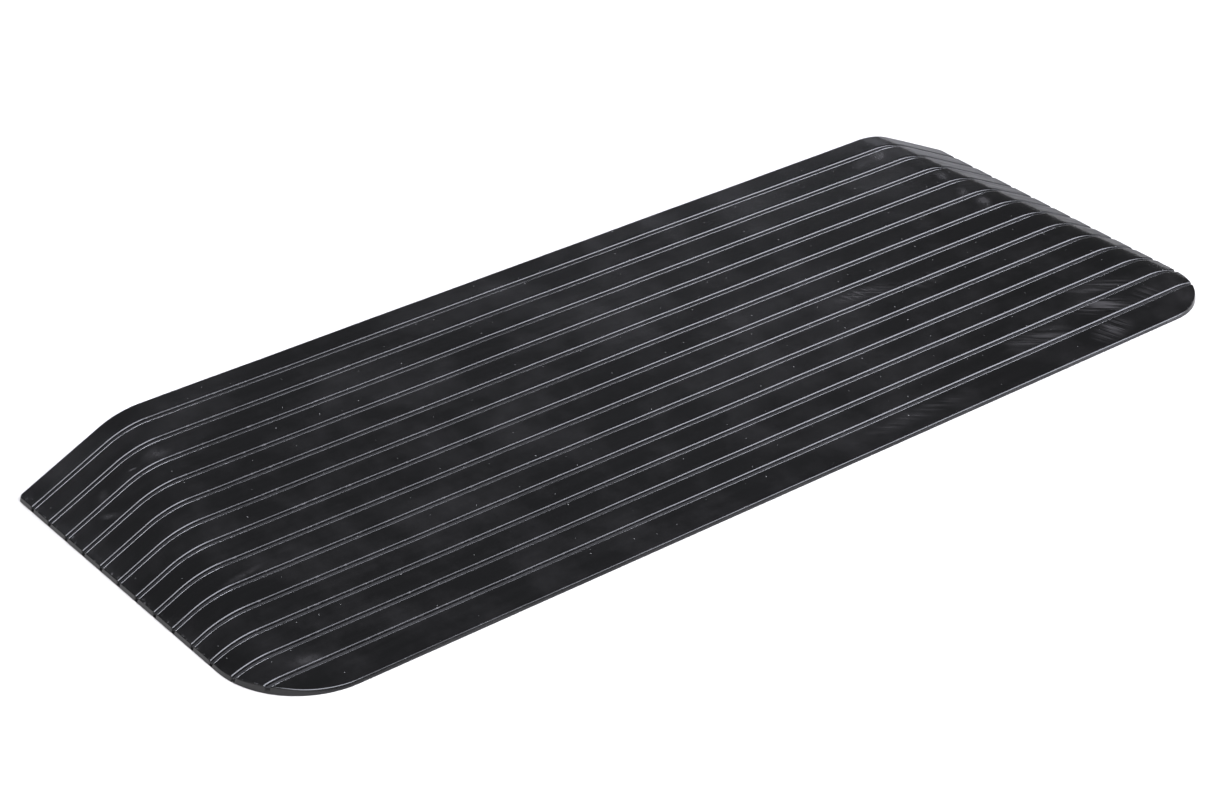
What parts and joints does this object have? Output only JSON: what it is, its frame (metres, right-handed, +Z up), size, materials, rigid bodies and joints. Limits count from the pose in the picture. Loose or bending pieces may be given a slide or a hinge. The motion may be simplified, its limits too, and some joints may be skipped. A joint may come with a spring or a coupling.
{
  "type": "portable threshold ramp",
  "caption": "Low rubber wedge ramp for a door sill: a long grooved deck with a side flare at each end, rounded front corners and a thin lead-in lip.",
  "frame": {"origin": "middle of the base rectangle, on the ground plane", "axes": "+X along the grooves towards the right side flare, +Y up the slope towards the door sill, +Z up"},
  "size_m": [1.0668, 0.381, 0.0506],
  "materials": {
    "moulded_rubber": "satin black moulded rubber, smooth from the mould, with fine dust and handling smudges",
    "grip_strip_rubber": "matt dark grey closed-cell rubber strip"
  },
  "bodies": {
    "root": {"ramp_body": "moulded_rubber", "grip_strip_rear_left": "grip_strip_rubber", "grip_strip_rear_right": "grip_strip_rubber", "grip_strip_front_left": "grip_strip_rubber", "grip_strip_front_right": "grip_strip_rubber", "grip_strip_side_left": "grip_strip_rubber", "grip_strip_side_right": "grip_strip_rubber"}
  },
  "joints": []
}
